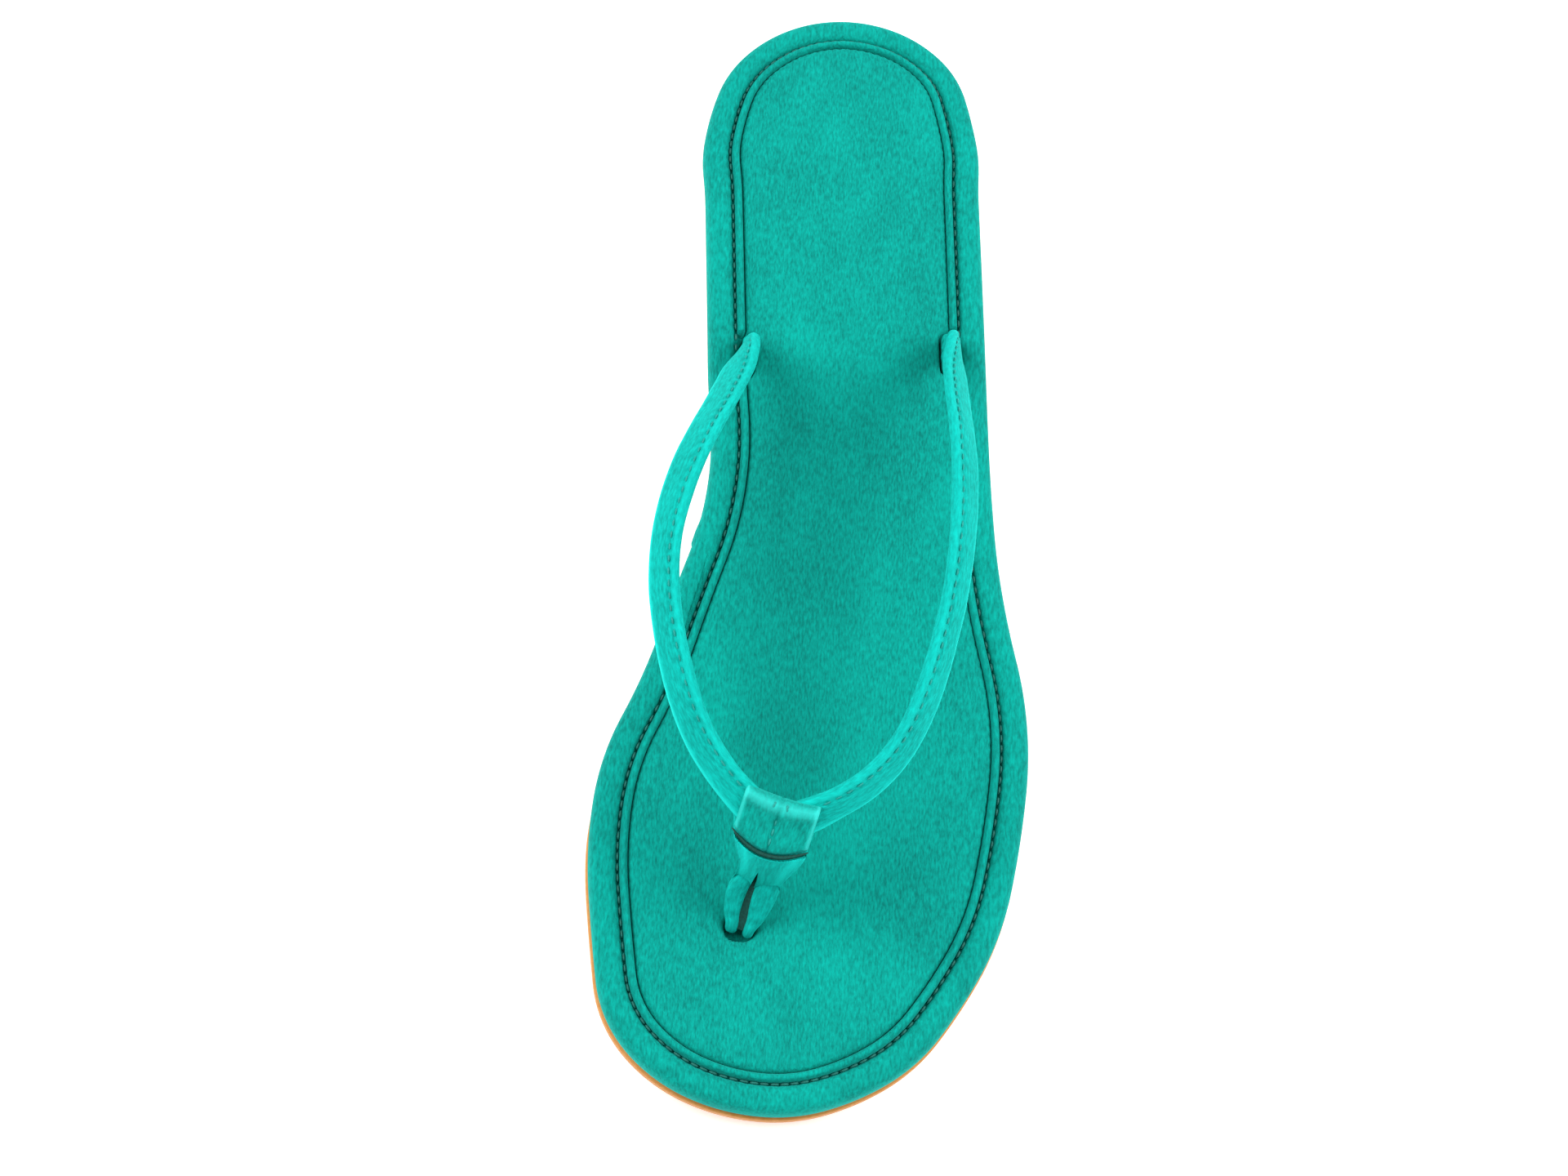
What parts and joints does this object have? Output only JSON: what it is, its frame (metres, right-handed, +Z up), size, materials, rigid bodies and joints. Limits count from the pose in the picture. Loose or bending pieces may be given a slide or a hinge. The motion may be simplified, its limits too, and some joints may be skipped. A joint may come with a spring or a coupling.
{
  "type": "thong sandal",
  "caption": "Left thong sandal: suede-wrapped flat sole with a low wedge, two folded straps that meet in a keeper over a toe post, sole that bends at the ball.",
  "frame": {"origin": "on the ground under the middle of the sandal's length, on the heel's centre line", "axes": "+Y from toe to heel, -X to the big toe side, +Z up"},
  "size_m": [0.0905, 0.25, 0.0485],
  "materials": {
    "suede": "napped suede, matte",
    "footbed_suede": "napped suede over thin foam, matte",
    "thread": "twisted polyester thread",
    "sole_rubber": "matte moulded",
    "cork": "ground cork sheet",
    "board": "pressed fibreboard",
    "foam": "open-cell foam",
    "tape": "woven tape",
    "steel": "plain"
  },
  "bodies": {
    "rear_sole": {"outsole_rear": "sole_rubber", "bottom_filler_rear": "cork", "insole_board_rear": "board", "foam_rear": "foam", "rim_wrap_rear": "suede", "piping_rear": "suede", "rim_stitching_rear": "thread", "footbed_cover_rear": "footbed_suede", "shank": "steel", "strap_tail_medial": "suede", "strap_tacks_medial": "steel", "strap_tail_lateral": "suede", "strap_tacks_lateral": "steel"},
    "forefoot": {"outsole_front": "sole_rubber", "bottom_filler_front": "cork", "insole_board_front": "board", "foam_front": "foam", "rim_wrap_front": "suede", "piping_front": "suede", "rim_stitching_front": "thread", "footbed_cover_front": "footbed_suede", "toe_post_tail": "suede", "toe_post_tacks": "steel"},
    "upper": {"strap_medial": "suede", "strap_medial_tape": "tape", "strap_medial_stitching": "thread", "strap_lateral": "suede", "strap_lateral_tape": "tape", "strap_lateral_stitching": "thread", "keeper": "suede", "keeper_stitching": "thread"},
    "toe_post": {"toe_post": "suede", "toe_post_tape": "tape"}
  },
  "joints": [
    {"name": "forefoot_flex", "type": "hinge", "parent": "rear_sole", "child": "forefoot", "pos_m": [0, -0.046, 0.0109], "axis": [-1, 0, 0], "range_deg": [0, 30], "stiffness_Nm_per_rad": 1.2},
    {"name": "strap_lift", "type": "hinge", "parent": "rear_sole", "child": "upper", "pos_m": [0, 0.0405, 0.0134], "axis": [-1, 0, 0], "range_deg": [0, 11], "stiffness_Nm_per_rad": 0.3},
    {"name": "post_tilt", "type": "hinge", "parent": "upper", "child": "toe_post", "pos_m": [-0.008, -0.072, 0.035], "axis": [-1, 0, 0], "range_deg": [-12, 0], "stiffness_Nm_per_rad": 0.05}
  ],
  "couplings": [
    {"joint": "strap_lift", "follows": "forefoot_flex", "ratio": 0.36},
    {"joint": "post_tilt", "follows": "forefoot_flex", "ratio": -0.36}
  ]
}
